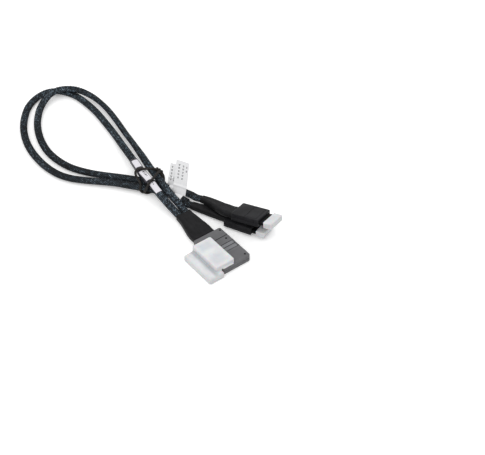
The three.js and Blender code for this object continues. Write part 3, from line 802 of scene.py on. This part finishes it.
wideCap = {
    "lowerX": (-11.4, 20.3),
    "lowerY": (-25.4, -12.3),
    "lowerTop": 5.4,
    "frontRound": 2.4,
    "upperX": (-11.1, 17.6),
    "upperY": (-17.95, -1.75),
    "upperTop": 10.0,
    "seat": 6.1,
    "lip": 0.9,
    "lipThick": 0.7,
}


def buildWideCap():
    bm = bmesh.new()
    settings = wideCap
    lowerZ, upperZ = (0, settings["lowerTop"]), (settings["seat"], settings["upperTop"])
    roundedBox(bm, settings["lowerX"], settings["lowerY"], lowerZ, 1.4, (0.5, settings["frontRound"]))
    roundedBox(bm, settings["upperX"], settings["upperY"], upperZ, 1.4, (0.25, 1.0))
    neckX = (settings["upperX"][0] - 0.1, settings["upperX"][1] + 0.1)
    roundedBox(bm, neckX, (settings["upperY"][0] - 0.1, settings["lowerY"][1]), (2.5, 7.4), 1.4, (0.3, 1.2))
    lipX = (settings["upperX"][0] + 1.2, settings["upperX"][1] + settings["lip"])
    lipZ = (settings["seat"], settings["seat"] + settings["lipThick"])
    roundedBox(bm, lipX, (settings["lowerY"][1], settings["upperY"][1] - 1.2), lipZ, 0.3, (0.1, 0.1))
    here = Matrix.Identity(4)
    pockets = [
        (here, (-9.9, 16.7), (-24.3, -11), (0.9, 4.3)),
        (here, (-10, 16.5), (-16.85, -1), (4.1, 8.9)),
    ]
    fusedPiece("wide_cap_milky", bm, "wide_cap", "milky", ["wide_dust_cap"], 0.24, 14, pockets)


buildWideCap()

smallCap = {"x": (26, 33), "y": (-8.3, 8.3), "z": (-0.1, 4.7), "corner": 0.8, "edge": (0.7, 0.7)}
for prefix, plug in smallPlugs.items():
    bm = bmesh.new()
    roundedBox(bm, smallCap["x"], smallCap["y"], smallCap["z"], smallCap["corner"], smallCap["edge"])
    bmesh.ops.transform(bm, matrix=plugPlace(plug), verts=bm.verts[:])
    pocket = [(plugPlace(plug), (25, 32.2), (-7.4, 7.4), (0.9, 3.7))]
    name, nodes = f"{prefix}_cap_milky", [f"{prefix}_dust_cap"]
    fusedPiece(name, bm, f"{prefix}_cap", "smallCap", nodes, 0.2, 3, pocket)
print("dust caps made")


# Marker sleeve and its white fields, on the lower cable
marker = {
    "shares": (0.076, 0.164),
    "width": 6.2 * mm,
    "thick": 4.4 * mm,
    "wall": 0.35 * mm,
    "fields": [(0.0588, 0.0688), (0.0412, 0.0532), (0.0258, 0.0376)],  # metres along the cable
    "fieldAcross": (0.1, 0.37),
    "dashes": {1: [0.15, 0.3, 0.45, 0.6], 2: [0.1, 0.24]},
}


def along(frames, length, distance):
    place = max(0.0, min(1.0, distance / length)) * (len(frames) - 1)
    return frames[min(int(place), len(frames) - 1)]


def buildMarker():
    bm = bmesh.new()
    sections = []
    first, last = (share * lowerLength for share in marker["shares"])
    rings = 40
    for i in range(rings + 1):
        at = along(lowerFrames, lowerLength, first + (last - first) * i / rings)
        wall = marker["wall"] * (0.4 if i in (0, rings) else 1)
        ring = []
        for k in range(36):
            angle = k * math.tau / 36
            dent = noise.noise(Vector((i * 0.35, math.cos(angle) * 1.5, math.sin(angle) * 1.5)))
            ring.append(ovalAt(at, k / 36, marker["width"], marker["thick"], wall + dent * 0.1 * mm))
        sections.append(ring)
    bridgedRings(bm, sections, closeEnds=False)
    mesh = meshFrom("marker_sleeve_film", bm)
    piece = finishPiece(mesh.name, mesh, "cable", ["film"], ["marker_sleeve"], smooth=0)
    wall = piece.modifiers.new("filmWall", "SOLIDIFY")
    wall.thickness = 0.22 * mm
    wall.offset = -1
    applied(piece)
    return piece


def onMarker(distance, share, lift):
    at = along(lowerFrames, lowerLength, distance)
    return ovalAt(at, share, marker["width"], marker["thick"], marker["wall"] + lift)


def buildFields():
    bm = bmesh.new()
    low, high = marker["fieldAcross"]
    for start, end in marker["fields"]:
        sheet = bmesh.ops.create_grid(bm, x_segments=26, y_segments=14, size=1)["verts"]
        for vertex in sheet:
            a, b = (vertex.co.x + 1) / 2, (vertex.co.y + 1) / 2
            vertex.co = onMarker(start + (end - start) * a, low + (high - low) * b, 0.1 * mm)
    for index, rows in marker["dashes"].items():
        start, end = marker["fields"][index]
        for row, place in enumerate(rows):
            centre = end - (end - start) * place
            for column in (0.22, 0.38):
                if index == 2 and column > 0.3:
                    continue
                dash = bmesh.ops.create_grid(bm, x_segments=1, y_segments=4, size=1)["verts"]
                reach = 0.09 + 0.03 * ((row + index) % 2)
                for vertex in dash:
                    share = low + (high - low) * (column + 0.3 + vertex.co.y * reach * 0.62)
                    vertex.co = onMarker(centre + vertex.co.x * 0.42 * mm, share, 0.16 * mm)
                for face in {f for v in dash for f in v.link_faces}:
                    face.material_index = 1
    inside = lowerFrames[int(0.045 / lowerLength * len(lowerFrames))][0]
    for face in bm.faces:
        face.normal_update()
        if face.normal.dot(face.calc_center_median() - inside) < 0:
            face.normal_flip()
    mesh = meshFrom("marker_fields", bm)
    piece = finishPiece(mesh.name, mesh, "cable", ["field", "ink"], smooth=0)
    sheet = piece.modifiers.new("printThickness", "SOLIDIFY")
    sheet.thickness = 0.07 * mm
    sheet.offset = -1
    applied(piece)
    return piece


markerPiece = buildMarker()
fieldsPiece = buildFields()


# Flag labels: a sheet that stands on its wrap, with rows of short dashes on both faces
flags = {
    "lower": {
        "share": 0.967,
        "side": 1.9,
        "lean": -21,
        "turn": -1,
        "yaw": 1,
        "width": 11,
        "height": 26.5,
        "curl": 0.7,
        "dashes": [
            (-2.5, (22.9, 20.4, 17.8, 15.3, 12.7), 0.95),
            (0.9, (22.7, 20.2, 17.6, 15.1, 12.5), 0.85),
            (3.8, (22.5, 19.4), 0.7),
        ],
    },
    "upper": {
        "share": 0.937,
        "side": 0.4,
        "lean": -17,
        "turn": 4,
        "yaw": 4,
        "width": 10,
        "height": 18,
        "curl": -0.5,
        "dashes": [
            (-3.0, (15.2, 12.5, 9.8, 7.2, 4.8), 0.8),
            (-0.6, (7.0, 4.6), 0.7),
        ],
    },
}
flagFoot = 2.3


def buildFlag(prefix, frames, length):
    flag = flags[prefix]
    point, across, up, ahead = along(frames, length, flag["share"] * length)
    heading = math.atan2(ahead.y, ahead.x) + math.radians(flag["yaw"])
    place = Matrix.Translation(point) @ Matrix.Rotation(heading, 4, "Z")
    place = place @ Matrix.Translation(Vector((0, flag["side"], flagFoot)) * mm)
    place = place @ Matrix.Rotation(math.radians(flag["lean"]), 4, "X")
    place = place @ Matrix.Rotation(math.radians(flag["turn"]), 4, "Y")

    def onSheet(x, z, lift):
        # the sheet curls a little to one side towards its top
        rise = z / flag["height"]
        crease = 0.4 * math.exp(-(((z - 6.4) / 0.8) ** 2))
        bend = flag["curl"] * rise * rise + 0.25 * (x / flag["width"] * 2) ** 2 * rise + crease
        return place @ (Vector((x, lift - bend, z)) * mm)

    bm = bmesh.new()
    for side in (-1, 1):
        sheet = bmesh.ops.create_grid(bm, x_segments=12, y_segments=52, size=1)["verts"]
        for vertex in sheet:
            x, z = vertex.co.x * flag["width"] / 2, (vertex.co.y + 1) / 2 * flag["height"]
            vertex.co = onSheet(x, z, side * 0.13)
        if side < 0:
            continue
        bmesh.ops.reverse_faces(bm, faces=list({f for v in sheet for f in v.link_faces}))
    rim = [e for e in bm.edges if e.is_boundary]
    bmesh.ops.bridge_loops(bm, edges=rim)
    for side in (-1, 1):
        for column, rows, wide in flag["dashes"]:
            for index, row in enumerate(rows):
                reach = wide * (1.0 if index % 2 else 0.8)
                for line in (-0.38, 0.38):
                    dash = bmesh.ops.create_cube(bm, size=1)["verts"]
                    for vertex in dash:
                        x = column * -side + vertex.co.x * reach * (1.7 if line > 0 else 1.3)
                        z = row + line + vertex.co.z * 0.42
                        vertex.co = onSheet(x, z, side * 0.14 + vertex.co.y * 0.05)
                    for face in {f for v in dash for f in v.link_faces}:
                        face.material_index = 1
    first, last = flag["share"] * length - 3.5 * mm, flag["share"] * length + 3.5 * mm
    rings = []
    for start, end, lift in ((first, last, 0.55 * mm), (last, first, 0.28 * mm)):
        for i in range(9):
            at = along(frames, length, start + (end - start) * i / 8)
            rings.append([ovalAt(at, k / 32, cable["width"], cable["thick"], lift) for k in range(32)])
    wrap = bmesh.new()
    bridgedRings(wrap, rings + [rings[0]], closeEnds=False)
    bmesh.ops.remove_doubles(wrap, verts=wrap.verts[:], dist=1e-7)
    bmesh.ops.recalc_face_normals(wrap, faces=wrap.faces[:])
    wrapMesh = meshFrom(f"{prefix}_flag_wrap", wrap)
    bm.from_mesh(wrapMesh)
    bpy.data.meshes.remove(wrapMesh)
    name, nodes = f"{prefix}_flag_paper", [f"{prefix}_flag_label"]
    bmesh.ops.recalc_face_normals(bm, faces=bm.faces[:])
    return finishPiece(name, meshFrom(name, bm), "cable", ["paper", "ink"], nodes)


lowerFlagPiece = buildFlag("lower", lowerFrames, lowerLength)
upperFlagPiece = buildFlag("upper", upperFrames, upperLength)
print("labels made")


# Twist tie: two turns of coated wire with a twisted knot
tie = {
    "radius": 0.95 * mm,
    "sides": 12,
    "knotTurns": 1.2,
    "knotRadius": 1.05 * mm,
    "knotSpread": 1.15 * mm,
    "tail": 5.6 * mm,
}


def wireSections(points, radius, sides):
    sections = []
    side = Vector((0, 0, 1))
    for i, point in enumerate(points):
        ahead = (points[min(i + 1, len(points) - 1)] - points[max(i - 1, 0)]).normalized()
        side = (side - ahead * side.dot(ahead)).normalized()
        other = ahead.cross(side)
        taper = 0.55 if i in (0, len(points) - 1) else 1
        ring = []
        for k in range(sides):
            angle = math.tau * k / sides
            ring.append(point + (side * math.cos(angle) + other * math.sin(angle)) * radius * taper)
        sections.append(ring)
    return sections


def buildTie():
    bm = bmesh.new()
    points = evenRoute(tieRoute, 0.8 * mm)[0]
    bridgedRings(bm, wireSections(points, tie["radius"], tie["sides"]))
    middle = (points[0] + points[-1]) / 2
    axis = Vector((0.9, 0.2, -0.15)).normalized()
    side = axis.orthogonal().normalized()
    other = axis.cross(side)
    for phase in (0, math.pi):
        strand = []
        for i in range(25):
            t = i / 24
            angle = phase + t * math.tau * tie["knotTurns"]
            spread = tie["knotSpread"] * (1 - 0.25 * abs(2 * t - 1))
            out = (side * math.cos(angle) + other * math.sin(angle)) * spread
            strand.append(middle + axis * (t - 0.5) * tie["tail"] + out)
        bridgedRings(bm, wireSections(strand, tie["knotRadius"], tie["sides"]))
    mesh = meshFrom("twist_tie_wire", bm)
    return finishPiece(mesh.name, mesh, "cable", ["tie"], ["twist_tie"], smooth=60)


tiePiece = buildTie()
print("tie made")

[tuple(p) for p in lowerPoints[::3]] + [tuple(lowerPoints[-1])]
[tuple(p) for p in upperPoints[::3]] + [tuple(upperPoints[-1])]

# Floor, light and backdrop
studio = {"floorSize": 6.0, "worldStrength": 0.7, "lampEnergy": 9.0, "lampSize": 1.6, "floorGlow": 0.22}


def buildStudio():
    bm = bmesh.new()
    bmesh.ops.create_grid(bm, x_segments=1, y_segments=1, size=studio["floorSize"])
    floor = bpy.data.objects.new("paleFloor", meshFrom("paleFloor", bm))
    scene.collection.objects.link(floor)
    floor.location.z = -0.0002
    made = Finish("paleFloor", Roughness=0.9)
    ray = made.add("ShaderNodeLightPath").outputs
    direct, glossy, through = [
        Signal(made, ray[f"Is {kind} Ray"]) for kind in ("Camera", "Glossy", "Transmission")
    ]
    seen = (direct + glossy + through).clamped()
    faint = made.grain(6, 2) * 0.01
    made.feed("Base Color", made.blend((seen + faint).clamped(), full("c4c4c5"), (1, 1, 1, 1)))
    made.shader.inputs["Specular IOR Level"].default_value = 0.0
    made.feed("Emission Color", made.blend(seen, (0, 0, 0, 1), (1, 1, 1, 1)))
    made.shader.inputs["Emission Strength"].default_value = studio["floorGlow"]
    floor.data.materials.append(made.material)
    world = bpy.data.worlds.new("studioWorld")
    scene.world = world
    world.use_nodes = True
    background = world.node_tree.nodes["Background"]
    path = world.node_tree.nodes.new("ShaderNodeLightPath")
    strength = world.node_tree.nodes.new("ShaderNodeMapRange")
    strength.inputs["To Min"].default_value = studio["worldStrength"]
    strength.inputs["To Max"].default_value = 1.0
    world.node_tree.links.new(path.outputs["Is Camera Ray"], strength.inputs["Value"])
    world.node_tree.links.new(strength.outputs[0], background.inputs["Strength"])
    background.inputs["Color"].default_value = (1, 1, 1, 1)
    lamps = [
        ("softboxFront", (0.35, -0.75, 1.15), 1.0),
        ("softboxBack", (-0.5, 0.6, 1.2), 0.5),
    ]
    for name, place, share in lamps:
        lamp = bpy.data.lights.new(name, "AREA")
        lamp.shape = "SQUARE"
        lamp.size = studio["lampSize"]
        lamp.energy = studio["lampEnergy"] * share
        holder = bpy.data.objects.new(name, lamp)
        scene.collection.objects.link(holder)
        holder.location = place
        towards = Vector((-0.08, 0, 0)) - holder.location
        holder.rotation_euler = towards.to_track_quat("-Z", "Y").to_euler()


buildStudio()
scene.view_settings.view_transform = "Standard"
print("studio made")
